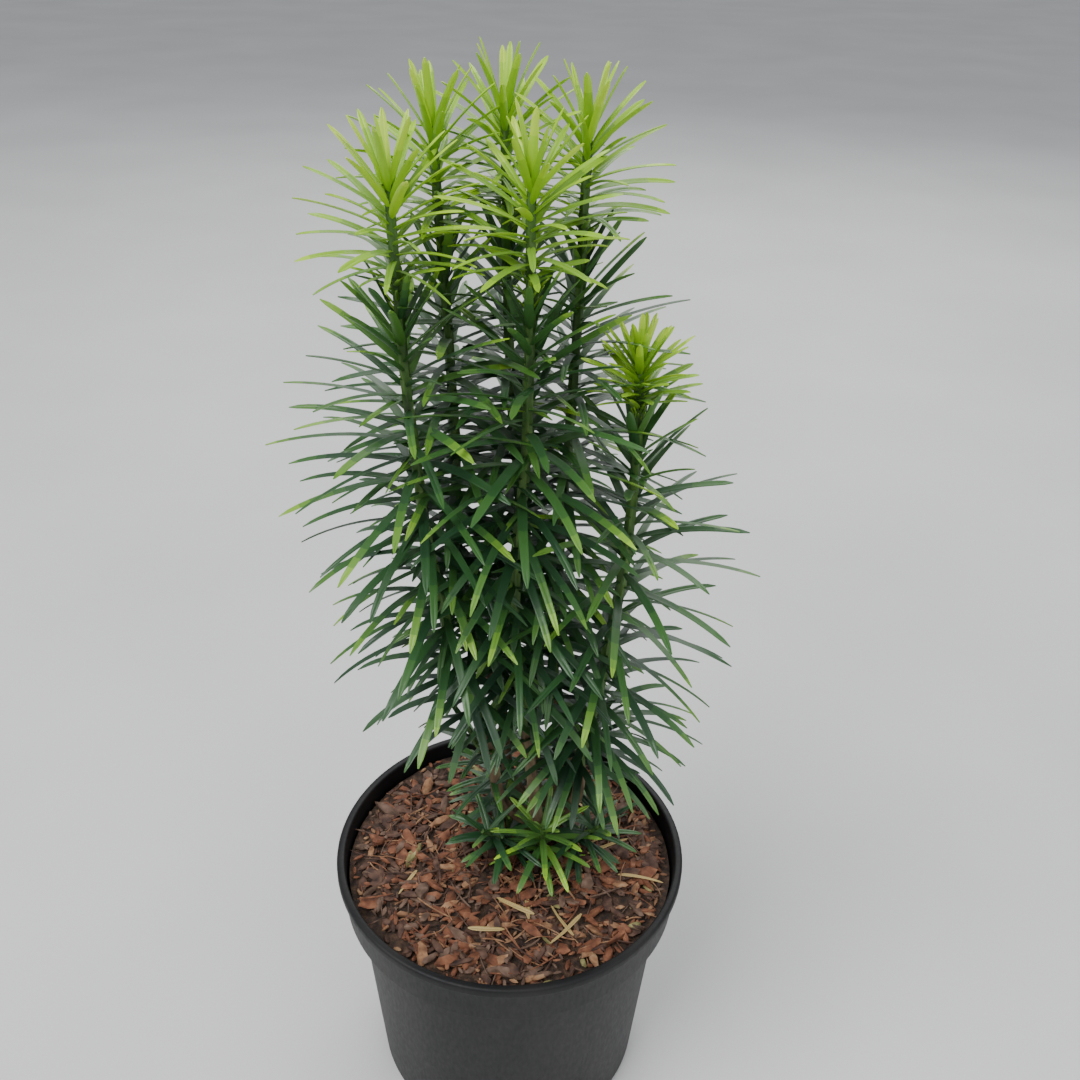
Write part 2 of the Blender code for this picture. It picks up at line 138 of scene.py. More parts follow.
@dataclass(frozen=True)
class GrainFinish:
    """A finish whose colour, roughness and relief vary with a noise, which may be stretched along Z.

    scale is the colours' noise per metre, and relief_scale how much finer the bumps' noise is. roughness
    is the least and the most, relief the bumps' depth, gloss the strength of highlights, ramp where in
    the noise the colours start and end, and detail the octaves of the two noises.
    """

    name: str
    colours: tuple[tuple[float, float, float], ...]
    scale: float
    stretch: float = 1.0
    roughness: tuple[float, float] = (0.7, 0.95)
    relief: float = 0.4 * MM
    relief_scale: float = 4.0
    relief_strength: float = 0.7
    gloss: float = 0.5
    ramp: tuple[float, float] = (0.3, 0.7)
    detail: tuple[float, float] = (6.0, 8.0)

    def material(self) -> bpy.types.Material:
        """Make the node material.

        Returns:
            The material.
        """
        made = bpy.data.materials.new(self.name)
        made.use_nodes = True
        tree = made.node_tree
        shader = tree.nodes["Principled BSDF"]
        shader.inputs["Specular IOR Level"].default_value = self.gloss
        place = tree.nodes.new("ShaderNodeTexCoord")
        grain = tree.nodes.new("ShaderNodeMapping")
        grain.inputs["Scale"].default_value = (1.0, 1.0, self.stretch)
        tree.links.new(place.outputs["Object"], grain.inputs["Vector"])
        broad = self._noise(tree, grain, self.scale, self.detail[0])
        fine = self._noise(tree, grain, self.scale * self.relief_scale, self.detail[1])
        tree.links.new(self._colour(tree, broad), shader.inputs["Base Color"])
        spread = tree.nodes.new("ShaderNodeMapRange")
        spread.inputs["To Min"].default_value = self.roughness[0]
        spread.inputs["To Max"].default_value = self.roughness[1]
        tree.links.new(fine.outputs["Fac"], spread.inputs["Value"])
        tree.links.new(spread.outputs["Result"], shader.inputs["Roughness"])
        bump = tree.nodes.new("ShaderNodeBump")
        bump.inputs["Strength"].default_value = self.relief_strength
        bump.inputs["Distance"].default_value = self.relief
        tree.links.new(fine.outputs["Fac"], bump.inputs["Height"])
        tree.links.new(bump.outputs["Normal"], shader.inputs["Normal"])
        return made

    def _colour(self, tree: bpy.types.NodeTree, noise: bpy.types.Node) -> bpy.types.NodeSocket:
        """Spread the colours evenly over the middle of a noise's range.

        Args:
            tree: The material's nodes.
            noise: The noise.

        Returns:
            The colour's socket.
        """
        node = tree.nodes.new("ShaderNodeValToRGB")
        stops = node.color_ramp.elements
        low, high = self.ramp
        last = len(self.colours) - 1
        stops[0].position = low
        stops[1].position = high
        for index in range(1, last):
            stops.new(low + (high - low) * index / last)
        for stop, colour in zip(stops, self.colours):
            stop.color = (*colour, 1.0)
        tree.links.new(noise.outputs["Fac"], node.inputs["Fac"])
        return node.outputs["Color"]

    @staticmethod
    def _noise(
        tree: bpy.types.NodeTree, grain: bpy.types.Node, scale: float, detail: float
    ) -> bpy.types.Node:
        """Add a noise on the mapped place.

        Args:
            tree: The material's nodes.
            grain: The node that maps the place.
            scale: The noise's scale, per metre.
            detail: Its octaves.

        Returns:
            The noise.
        """
        noise = tree.nodes.new("ShaderNodeTexNoise")
        noise.inputs["Scale"].default_value = scale
        noise.inputs["Detail"].default_value = detail
        tree.links.new(grain.outputs["Vector"], noise.inputs["Vector"])
        return noise


BLACK_PLASTIC = GrainFinish(
    "black_plastic",
    ((0.004, 0.004, 0.0045), (0.007, 0.007, 0.0075), (0.013, 0.0125, 0.012)),
    scale=26.0,
    stretch=0.35,
    roughness=(0.42, 0.66),
    relief=0.12 * MM,
    relief_scale=22.0,
    gloss=0.28,
)
POTTING_MIX = GrainFinish(
    "potting_mix",
    ((0.012, 0.007, 0.005), (0.045, 0.024, 0.014), (0.11, 0.06, 0.035)),
    scale=260.0,
    relief=1.2 * MM,
)
RED_BROWN_CHIP = GrainFinish(
    "chip_red_brown", ((0.06, 0.020, 0.009), (0.16, 0.055, 0.024), (0.26, 0.11, 0.055)), scale=190.0
)
DARK_BROWN_CHIP = GrainFinish(
    "chip_dark_brown", ((0.022, 0.010, 0.007), (0.07, 0.032, 0.02), (0.13, 0.07, 0.045)), scale=210.0
)
TAN_CHIP = GrainFinish(
    "chip_tan", ((0.12, 0.05, 0.022), (0.25, 0.125, 0.06), (0.36, 0.22, 0.12)), scale=230.0
)
GREY_BROWN_CHIP = GrainFinish(
    "chip_grey_brown", ((0.045, 0.024, 0.014), (0.11, 0.062, 0.04), (0.19, 0.12, 0.085)), scale=200.0
)
OLIVE_CHIP = GrainFinish(
    "chip_olive", ((0.07, 0.06, 0.02), (0.19, 0.17, 0.06), (0.34, 0.30, 0.13)), scale=240.0
)
CHIP_FINISHES = (RED_BROWN_CHIP, DARK_BROWN_CHIP, TAN_CHIP, GREY_BROWN_CHIP, OLIVE_CHIP)
BROWN_BARK = GrainFinish(
    "brown_bark",
    ((0.045, 0.030, 0.016), (0.13, 0.085, 0.045), (0.17, 0.15, 0.07)),
    scale=240.0,
    stretch=0.3,
    relief=0.7 * MM,
)
GREEN_BARK = GrainFinish(
    "green_bark",
    ((0.025, 0.055, 0.014), (0.05, 0.12, 0.02), (0.10, 0.19, 0.035)),
    scale=230.0,
    stretch=0.25,
    roughness=(0.45, 0.75),
    relief=0.3 * MM,
)
PALE_FLOOR = GrainFinish(
    "pale_floor",
    ((0.60, 0.60, 0.59), (0.66, 0.66, 0.65)),
    scale=3.0,
    roughness=(0.8, 0.9),
    relief=0.1 * MM,
)


class Kind(Enum):
    """The kinds of growth."""

    TIP = "tip"
    MIDDLE = "middle"
    LOWER = "lower"
    SPRIG = "sprig"


@dataclass(frozen=True)
class Growth:
    """How the needles of one kind of growth change from its foot to its top.

    Lengths and widths are in mm and angles in degrees. Tints are places in the list of greens.
    """

    needles: int
    at: tuple[float, ...]
    length: tuple[float, ...]
    rise: tuple[float, ...]
    droop: tuple[float, ...]
    tints: tuple[float, float]
    width: float


GROWTHS = {
    Kind.TIP: Growth(
        needles=68,
        at=(0.0, 0.2, 0.35, 0.6, 0.85, 1.0),
        length=(7, 10, 36, 40, 34, 26),
        rise=(55, 40, 12, 28, 55, 80),
        droop=(0, 5, 32, 25, 14, 6),
        tints=(5.2, 7.8),
        width=3.7,
    ),
    Kind.MIDDLE: Growth(
        needles=92,
        at=(0.0, 0.2, 0.5, 0.75, 0.9, 1.0),
        length=(48, 58, 61, 51, 37, 26),
        rise=(-2, 5, 14, 28, 48, 65),
        droop=(38, 36, 30, 22, 12, 6),
        tints=(1.4, 3.3),
        width=4.2,
    ),
    Kind.LOWER: Growth(
        needles=48,
        at=(0.0, 0.3, 0.6, 1.0),
        length=(36, 52, 58, 57),
        rise=(-8, -2, 4, 14),
        droop=(40, 45, 45, 40),
        tints=(0.8, 2.0),
        width=4.3,
    ),
    Kind.SPRIG: Growth(
        needles=26,
        at=(0.0, 0.4, 0.75, 1.0),
        length=(26, 31, 29, 22),
        rise=(2, 10, 28, 60),
        droop=(28, 30, 22, 10),
        tints=(0.8, 2.2),
        width=3.7,
    ),
}


@dataclass(frozen=True)
class Shoot:
    """One upright shoot: where it leaves the trunk, its way points and where its growths start, in mm.

    gather says how far its tip's needles are drawn in, from 0, spread, to 1.
    """

    azimuth: float
    fork: float
    way: tuple[tuple[float, float, float], ...]
    starts: tuple[float, float, float]
    phase: float
    gather: float = 0.0

    def stub_point(self, reach: float) -> Vector:
        """A point at some reach from the trunk's axis along the shoot's stub.

        Args:
            reach: How far along.

        Returns:
            The point.
        """
        angle = math.radians(self.azimuth)
        out = Vector((math.cos(angle), math.sin(angle), 0.0)) * math.sin(STUB_TILT)
        return Vector((*TRUNK_AT, self.fork * MM)) + (out + Vector((0, 0, math.cos(STUB_TILT)))) * reach

    def nodes(self) -> np.ndarray:
        """The points that the shoot's axis runs through: straight out of its stub, then by its way.

        Returns:
            The points, from the fork up.
        """
        reaches = (0.0, STUB_REACH, STUB_REACH + STUB_RUN_ON)
        straight = [tuple(self.stub_point(reach)) for reach in reaches]
        return np.array([*straight, *(np.array(point) * MM for point in self.way)])


SHOOTS = {
    "left_front": Shoot(
        azimuth=195,
        fork=150,
        way=((-11, 4, 213), (-32, -5, 304), (-45, -8, 424), (-48.5, -8, 510)),
        starts=(236, 330, 456),
        phase=0.4,
    ),
    "left_back": Shoot(
        azimuth=145,
        fork=156,
        way=((-6, 24, 224), (-25, 21, 300), (-28, 21, 400), (-34.5, 23, 524)),
        starts=(258, 345, 470),
        phase=1.1,
    ),
    "back_centre": Shoot(
        azimuth=97,
        fork=157,
        way=((10, 25, 230), (8, 29, 300), (-2, 32, 400), (-6, 34, 530)),
        starts=(240, 340, 474),
        phase=2.3,
    ),
    "front_centre": Shoot(
        azimuth=268,
        fork=156,
        way=((10, 3, 208), (1, -4, 306), (6, -8, 410), (6, -8, 513)),
        starts=(232, 330, 458),
        phase=0.9,
    ),
    "back_right": Shoot(
        azimuth=45,
        fork=156,
        way=((21, 20, 240), (22, 21, 330), (26, 22, 427), (28, 24, 525)),
        starts=(246, 338, 470),
        phase=1.7,
    ),
    "right": Shoot(
        azimuth=350,
        fork=150,
        way=((37, 7, 212), (47, 3, 282), (54, 2, 366), (53, 2, 436)),
        starts=(202, 248, 404),
        phase=2.9,
        gather=0.4,
    ),
}


@dataclass(frozen=True)
class Sprig:
    """A short shoot that rises from the mulch beside the trunk, in mm. lift is how much brighter it is."""

    foot: tuple[float, float]
    top: tuple[float, float, float]
    phase: float
    lift: float = 0.0

    def nodes(self) -> np.ndarray:
        """The points that the sprig's axis runs through: upright at first, then over to its top.

        Returns:
            The points, from the mulch up.
        """
        x, y = (value * MM for value in self.foot)
        low = mulch_height(x, y) + GAP
        top = np.array(self.top) * MM
        stay = 1 - SPRIG_BEND
        bend = (stay * x + SPRIG_BEND * top[0], stay * y + SPRIG_BEND * top[1], 0.5 * (low + top[2]))
        return np.array([(x, y, low), (x, y, low + SPRIG_UPRIGHT), bend, top])


SPRIGS = {
    "front": Sprig((17, -4), (18, -9, 172), phase=0.2, lift=2.6),
    "left": Sprig((-1, 17), (-25, 14, 224), phase=1.3),
    "right": Sprig((31, 22), (47, 25, 222), phase=2.2),
    "back": Sprig((12, 32), (12, 50, 214), phase=0.7),
    "low_left": Sprig((2, 2), (-15, -7, 166), phase=1.9),
    "low_right": Sprig((33, 4), (48, -4, 168), phase=2.6),
    "low_back": Sprig((-2, 30), (-14, 44, 170), phase=0.5),
}


def level_way(angle: float) -> Vector:
    """A level direction."""
    return Vector((math.cos(angle), math.sin(angle), 0.0))


def mulch_height(x: float, y: float) -> float:
    """Height of the mulch: a low dome with shallow waves, level round the trunk's foot, as in the solids.

    Args:
        x: Place across the pot.
        y: Place from front to back.

    Returns:
        The height of the surface there.
    """
    dome = MULCH_CROWN * (1 - (math.hypot(x, y) / COLLAR_RADIUS) ** 2)
    wave = math.sin(x / MULCH_WAVE + MULCH_PHASES[0]) * math.cos(y / MULCH_WAVE + MULCH_PHASES[1])
    ripple = math.sin((x + MULCH_RIPPLE_SKEW * y) / MULCH_RIPPLE)
    off = math.hypot(x - TRUNK_AT[0], y - TRUNK_AT[1])
    blend = min(max((off - LEVEL_PATCH) / LEVEL_BLEND, 0.0), 1.0)
    return MULCH_EDGE + dome + blend * MULCH_RELIEF * (MULCH_SHARES[0] * wave + MULCH_SHARES[1] * ripple)


def mulch_spot(dice: random.Random, keep: float) -> tuple[float, float]:
    """A place on the mulch, clear of the trunk and of the pot's wall.

    Args:
        dice: The dice that choose it.
        keep: How far it stays from the wall.

    Returns:
        Its x and y.
    """
    while True:
        radius = (MULCH_REACH - keep) * math.sqrt(dice.random())
        angle = dice.uniform(0, math.tau)
        x, y = radius * math.cos(angle), radius * math.sin(angle)
        if math.hypot(x - TRUNK_AT[0], y - TRUNK_AT[1]) > TRUNK_CLEAR:
            return x, y


def stem_radius(height: float) -> float:
    """Radius of a shoot's stem at a height."""
    share = min(max((height - TRUNK_FOOT) / (STEM_TOP_HEIGHT - TRUNK_FOOT), 0.0), 1.0)
    return STEM_FOOT_RADIUS + (STEM_TOP_RADIUS - STEM_FOOT_RADIUS) * share


def stem_point(nodes: np.ndarray, height: float) -> Vector:
    """The point of a stem's axis at a height, on a smooth curve through its nodes.

    Args:
        nodes: The stem's nodes, from its foot up.
        height: The height of the point.

    Returns:
        The point.
    """
    levels = nodes[:, 2]
    slopes = np.gradient(nodes[:, :2], levels, axis=0)
    i = int(np.clip(np.searchsorted(levels, height) - 1, 0, len(levels) - 2))
    span = levels[i + 1] - levels[i]
    t = (height - levels[i]) / span
    place = (
        (2 * t**3 - 3 * t**2 + 1) * nodes[i, :2]
        + (t**3 - 2 * t**2 + t) * span * slopes[i]
        + (3 * t**2 - 2 * t**3) * nodes[i + 1, :2]
        + (t**3 - t**2) * span * slopes[i + 1]
    )
    return Vector((place[0], place[1], height))


@dataclass
class Pile:
    """Points, faces and finish numbers gathered for one joined mesh."""

    points: list[np.ndarray] = field(default_factory=list)
    faces: list[tuple[int, ...]] = field(default_factory=list)
    finishes: list[int] = field(default_factory=list)
    count: int = 0

    def tube(self, rings: np.ndarray, tints: list[int]) -> None:
        """Add a closed tube.

        Args:
            rings: Points by ring and side, anticlockwise seen from the tube's far end.
            tints: A finish number for each stretch between two rings.
        """
        rows, sides = rings.shape[:2]
        base = self.count
        self.points.append(rings.reshape(-1, 3))
        self.count += rows * sides
        for row in range(rows - 1):
            for side in range(sides):
                near, far = base + row * sides, base + (row + 1) * sides
                after = (side + 1) % sides
                self.faces.append((near + side, near + after, far + after, far + side))
                self.finishes.append(tints[row])
        self.faces.append(tuple(base + side for side in reversed(range(sides))))
        self.faces.append(tuple(base + (rows - 1) * sides + side for side in range(sides)))
        self.finishes.extend((tints[0], tints[-1]))

    def piece(
        self, name: str, materials: list[bpy.types.Material], slot: str, nodes: tuple[str, ...] = ()
    ) -> None:
        """Make the piece, let it ride on the plant's body and hide the solids that it replaces.

        Args:
            name: The piece's name.
            materials: Its finishes, by number.
            slot: Not used.
            nodes: The solids that it replaces.
        """
        mesh = bpy.data.meshes.new(name)
        mesh.from_pydata(np.concatenate(self.points).tolist(), [], self.faces)
        for material in materials:
            mesh.materials.append(material)
        mesh.polygons.foreach_set("material_index", self.finishes)
        mesh.shade_smooth()
        mesh.set_sharp_from_angle(angle=SHARP_ANGLE)
        made = bpy.data.objects.new(name, mesh)
        bpy.context.scene.collection.objects.link(made)
        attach(made, BODY)
        if nodes:
            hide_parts(*nodes)
        LOG.info("%s: %d faces", name, len(self.faces))


@dataclass(frozen=True)
class NeedleShape:
    """The shape that needles share: a flat, grooved blade on a short stalk, with a blunt point.

    The section's points are shares of half the width and of the thickness, from one edge over the top.
    """

    rows: int = 12
    row_bias: float = 0.85
    thickness: float = 0.7 * MM
    least_thickness: float = 0.5
    twist_curve: float = 0.5
    fold: float = 0.16
    stalk_width: float = 0.34
    stalk_length: float = 0.16
    stalk_curve: float = 0.8
    taper_from: float = 0.35
    taper: float = 0.5
    point_from: float = 0.84
    point_length: float = 0.16
    point_width: float = 0.16
    section: tuple[tuple[float, float], ...] = (
        (1.0, 0.0),
        (0.55, 0.55),
        (0.0, 0.1),
        (-0.55, 0.55),
        (-1.0, 0.0),
        (-0.5, -0.45),
        (0.0, -0.6),
        (0.5, -0.45),
    )

    @property
    def stretches(self) -> int:
        """How many stretches lie between the rings."""
        return self.rows - 1

    def half_width(self, share: float) -> float:
        """The blade's width at a share of its length, as a share of its greatest width.

        Args:
            share: How far along the needle.

        Returns:
            The share of the width.
        """
        widening = min(share / self.stalk_length, 1.0) ** self.stalk_curve
        stalk = self.stalk_width + (1 - self.stalk_width) * widening
        narrowing = 1.0 - self.taper * max(share - self.taper_from, 0.0)
        past = max(share - self.point_from, 0.0) / self.point_length
        return max(stalk * narrowing * math.sqrt(max(1.0 - past**2, 0.0)), self.point_width)


@dataclass(frozen=True)
class Needle:
    """One needle: where it leaves its stem, its bend, its size and how its blade is turned.

    rise is the angle above level at which it leaves, droop how far that falls by its tip, twist how far the
    blade is turned about its own line, sickle its sideways curve as a share of its length, and floor the
    least height of its line.
    """

    root: Vector
    outward: Vector
    rise: float
    droop: float
    length: float
    width: float
    twist: float
    sickle: float
    floor: float

    def add_to(self, pile: Pile, shape: NeedleShape, tints: list[int]) -> None:
        """Add the needle to a pile.

        Args:
            pile: The pile.
            shape: The shape that it shares.
            tints: A finish number for each stretch.
        """
        across = Vector((-self.outward.y, self.outward.x, 0.0))
        place = self.root.copy()
        rings = np.zeros((shape.rows, len(shape.section), 3))
        before = 0.0
        for row in range(shape.rows):
            share = (row / shape.stretches) ** shape.row_bias
            step = (share - before) * self.length
            before = share
            angle = self.rise - self.droop * share
            along = self.outward * math.cos(angle) + Vector((0, 0, math.sin(angle)))
            place += along * step
            side = Matrix.Rotation(self.twist * share**shape.twist_curve, 3, along) @ across
            up = along.cross(side)
            centre = place + across * (self.sickle * self.length * share**2)
            centre.z = max(centre.z, self.floor)
            broad = shape.half_width(share)
            half = 0.5 * self.width * broad
            thick = shape.thickness * (shape.least_thickness + (1 - shape.least_thickness) * broad)
            for index, (u, v) in enumerate(shape.section):
                lift = v * thick + shape.fold * abs(u) * half
                rings[row, index] = centre + side * (u * half) + up * lift
        pile.tube(rings, tints)


@dataclass(frozen=True)
class Bunch:
    """One growth of needles on its stretch of stem, and the solid that it stands for."""

    node: str
    kind: Kind
    stem: np.ndarray
    low: float
    high: float
    phase: float
    seed: int
    lift: float = 0.0
    gather: float = 0.0


@dataclass
class Foliage:
    """Every growth of needles, on the solids' own tables and golden-angle spirals, with more needles.

    tip_share is where along a needle its lighter tip sets in, and fade is half the length over which
    it does so.
    """

    seed_step: int = 1000
    shape: NeedleShape = field(default_factory=NeedleShape)
    turn_per_needle: float = math.radians(137.508)
    turn_jitter: float = math.radians(8)
    rise_jitter: float = math.radians(6)
    length_jitter: float = 0.08
    width_jitter: tuple[float, float] = (-0.1, 0.12)
    twist_jitter: float = 0.5
    sickle_jitter: float = 0.07
    last_needle: float = 0.985
    first_on_sprig: float = 0.22
    full_width_from: float = 22 * MM
    root_inset: float = 0.5 * SPRIG_RADIUS
    over_mulch: float = 3 * MM
    gather_rise: float = math.radians(60)
    gather_shorten: float = 0.7
    tint_curve: float = 1.5
    tint_jitter: float = 0.9
    young_tip_lift: float = 1.0
    old_tip_lift: float = 0.7
    old_tip_spread: float = 3.9
    tip_share: float = 0.72
    tip_share_jitter: tuple[float, float] = (-0.16, 0.1)
    fade: float = 0.24

    def tints(self, bunch: Bunch, share: float, dice: random.Random) -> list[int]:
        """The finish number of each stretch of a needle, lighter towards its tip.

        Args:
            bunch: The needle's growth.
            share: How far up the growth the needle stands.
            dice: The needle's own dice.

        Returns:
            One number for each stretch.
        """
        low, high = GROWTHS[bunch.kind].tints
        jitter = dice.uniform(-self.tint_jitter, self.tint_jitter)
        base = low + (high - low) * share**self.tint_curve + bunch.lift + jitter
        if bunch.kind is Kind.TIP:
            tip = base + self.young_tip_lift
        else:
            tip = base + (self.old_tip_lift + self.old_tip_spread * dice.random() ** 2)
        start = self.tip_share + dice.uniform(*self.tip_share_jitter)
        last = GREENS.index(Green.PALE)
        numbers = []
        for row in range(self.shape.stretches):
            along = (row + 0.5) / self.shape.stretches
            blend = min(max((along - start + self.fade) / (2 * self.fade), 0.0), 1.0)
            numbers.append(int(min(max(round(base + (tip - base) * blend), 0), last)))
        return numbers

    def grow(self, bunch: Bunch) -> Pile:
        """Grow one growth's needles.

        Args:
            bunch: The growth.

        Returns:
            The needles.
        """
        growth = GROWTHS[bunch.kind]
        first = self.first_on_sprig if bunch.kind is Kind.SPRIG else 0.0
        pile = Pile()
        for index in range(growth.needles):
            share = (index + 0.5) / growth.needles
            dice = random.Random(self.seed_step * bunch.seed + index)
            turn = bunch.phase + index * self.turn_per_needle + dice.uniform(-1, 1) * self.turn_jitter
            rise = math.radians(np.interp(share, growth.at, growth.rise))
            rise += dice.uniform(-1, 1) * self.rise_jitter
            droop = math.radians(np.interp(share, growth.at, growth.droop))
            length = np.interp(share, growth.at, growth.length) * MM
            length *= 1 + dice.uniform(-1, 1) * self.length_jitter
            rise += bunch.gather * self.gather_rise * (1 - share)
            droop *= 1 - bunch.gather
            length *= 1 - self.gather_shorten * bunch.gather
            height = bunch.low + (bunch.high - bunch.low) * (first + (self.last_needle - first) * share)
            outward = level_way(turn)
            width = growth.width * MM * min(1.0, length / self.full_width_from)
            width *= 1 + dice.uniform(*self.width_jitter)
            needle = Needle(
                root=stem_point(bunch.stem, height) + outward * self.root_inset,
                outward=outward,
                rise=rise,
                droop=droop,
                length=length,
                width=width,
                twist=dice.uniform(-self.twist_jitter, self.twist_jitter),
                sickle=dice.uniform(-self.sickle_jitter, self.sickle_jitter),
                floor=TRUNK_FOOT + self.over_mulch,
            )
            needle.add_to(pile, self.shape, self.tints(bunch, share, dice))
        LOG.info("%s: %d needles", bunch.node, growth.needles)
        return pile

    def bunches(self) -> list[Bunch]:
        """Every growth in the solids' own order: tips, middles, lowers, then sprigs.

        Returns:
            The growths.
        """
        made = []
        for place, kind in ((2, Kind.TIP), (1, Kind.MIDDLE), (0, Kind.LOWER)):
            for name, shoot in SHOOTS.items():
                stem = shoot.nodes()
                bounds = [*(start * MM for start in shoot.starts), stem[-1, 2]]
                gather = shoot.gather if kind is Kind.TIP else 0.0
                node = f"foliage_{name}_{kind.value}"
                low, high = bounds[place], bounds[place + 1]
                made.append(Bunch(node, kind, stem, low, high, shoot.phase, len(made) + 1, gather=gather))
        for name, sprig in SPRIGS.items():
            stem = sprig.nodes()
            node = f"sprig_{name}"
            low, high = stem[0, 2], stem[-1, 2]
            seed = len(made) + 1
            made.append(Bunch(node, Kind.SPRIG, stem, low, high, sprig.phase, seed, lift=sprig.lift))
        return made

    def build(self) -> None:
        """Grow and dress every growth."""
        finishes = [NeedleFinish(tint).material() for tint in GREENS]
        for bunch in self.bunches():
            slot = "tip_needles" if bunch.kind is Kind.TIP else "needles"
            name = "needles_" + bunch.node.removeprefix("foliage_")
            self.grow(bunch).piece(name, finishes, slot, (bunch.node,))


@dataclass
class Stems:
    """The trunk with its boughs in relief, and the ribbed green stems above them.

    The trunk's profile is height and radius, in mm. Depths and roughness are shares of a limb's radius, and
    turns and waves are in radians for each metre of height.
    """

    trunk_seed: int = 41
    bough_seed: int = 50
    green_seed: int = 60
    sprig_seed: int = 70
    sides: int = 20
    step: float = 2 * MM
    least_rings: int = 4
    green_ribs: int = 5
    green_depth: float = 0.13
    bough_ribs: int = 6
    bough_depth: float = 0.12
    bough_swell: float = 1.04
    trunk_ribs: int = 7
    trunk_depth: float = 0.11
    trunk_rings: int = 24
    trunk_profile: tuple[tuple[float, float], ...] = (
        (0, 10.2),
        (3, 9.0),
        (7, 7.3),
        (12, 6.9),
        (17, 6.2),
        (20, 4.8),
    )
    rib_turn: float = 90.0
    knot_share: float = 0.4
    knot_waves: tuple[float, float] = (900.0, 430.0)
    roughness: float = 0.02

    def limb(
        self, pile: Pile, line: list[Vector], radii: list[float], seed: int, depth: float, ribs: int
    ) -> None:
        """Add a limb in relief.

        Args:
            pile: The pile.
            line: The points of its axis.
            radii: Its radius at each point.
            seed: The seed of its unevenness.
            depth: The depth of its ribs, as a share of its radius.
            ribs: How many ribs stand round it.
        """
        dice = random.Random(seed)
        offset = dice.uniform(0, math.tau)
        rings = np.zeros((len(line), self.sides, 3))
        for row, (centre, radius) in enumerate(zip(line, radii)):
            along = (line[min(row + 1, len(line) - 1)] - line[max(row - 1, 0)]).normalized()
            side = Vector((0, 1, 0)).cross(along).normalized()
            up = along.cross(side)
            for index in range(self.sides):
                angle = math.tau * index / self.sides
                wave = math.cos(ribs * angle + self.rib_turn * centre.z + offset)
                knot = math.sin(2.0 * angle + self.knot_waves[0] * centre.z + offset)
                knot *= math.sin(self.knot_waves[1] * centre.z + 3 * offset)
                rough = dice.uniform(-self.roughness, self.roughness)
                size = radius * (1 + depth * wave + self.knot_share * depth * knot + rough)
                rings[row, index] = centre + side * (math.cos(angle) * size) + up * (math.sin(angle) * size)
        pile.tube(rings, [0] * (len(line) - 1))

    def heights(self, low: float, high: float) -> np.ndarray:
        """Heights of a limb's rings."""
        return np.linspace(low, high, max(self.least_rings, round((high - low) / self.step)))

    def brown(self) -> None:
        """The flared trunk and the bare boughs, in brown bark."""
        pile = Pile()
        heights, radii = zip(*((height * MM, radius * MM) for height, radius in self.trunk_profile))
        levels = np.linspace(0.0, heights[-1], self.trunk_rings)
        line = [Vector((*TRUNK_AT, TRUNK_FOOT + level)) for level in levels]
        widths = [float(np.interp(level, heights, radii)) for level in levels]
        self.limb(pile, line, widths, self.trunk_seed, self.trunk_depth, self.trunk_ribs)
        for index, shoot in enumerate(SHOOTS.values()):
            nodes = shoot.nodes()
            levels = self.heights(nodes[0, 2], shoot.starts[0] * MM)
            line = [stem_point(nodes, level) for level in levels]
            widths = [stem_radius(level) * self.bough_swell for level in levels]
            self.limb(pile, line, widths, self.bough_seed + index, self.bough_depth, self.bough_ribs)
        boughs = tuple(f"bough_{name}" for name in SHOOTS)
        pile.piece("trunk_and_boughs", [BROWN_BARK.material()], "bark", ("trunk", *boughs))

    def green(self) -> None:
        """The stems inside the growths and the sprigs, in green bark."""
        pile = Pile()
        for index, shoot in enumerate(SHOOTS.values()):
            nodes = shoot.nodes()
            levels = self.heights(shoot.starts[0] * MM, nodes[-1, 2])
            line = [stem_point(nodes, level) for level in levels]
            widths = []
            for level in levels:
                share = min((nodes[-1, 2] - level) / STEM_END_LENGTH, 1.0)
                widths.append(STEM_END_RADIUS + (stem_radius(level) - STEM_END_RADIUS) * share)
            self.limb(pile, line, widths, self.green_seed + index, self.green_depth, self.green_ribs)
        for index, sprig in enumerate(SPRIGS.values()):
            nodes = sprig.nodes()
            levels = self.heights(nodes[0, 2], nodes[-1, 2])
            line = [stem_point(nodes, level) for level in levels]
            widths = list(np.linspace(SPRIG_RADIUS, STEM_END_RADIUS, len(levels)))
            self.limb(pile, line, widths, self.sprig_seed + index, self.green_depth, self.green_ribs)
        pile.piece("green_stems", [GREEN_BARK.material()], "green_bark")

    def build(self) -> None:
        """Build the brown limbs, then the green ones."""
        self.brown()
        self.green()


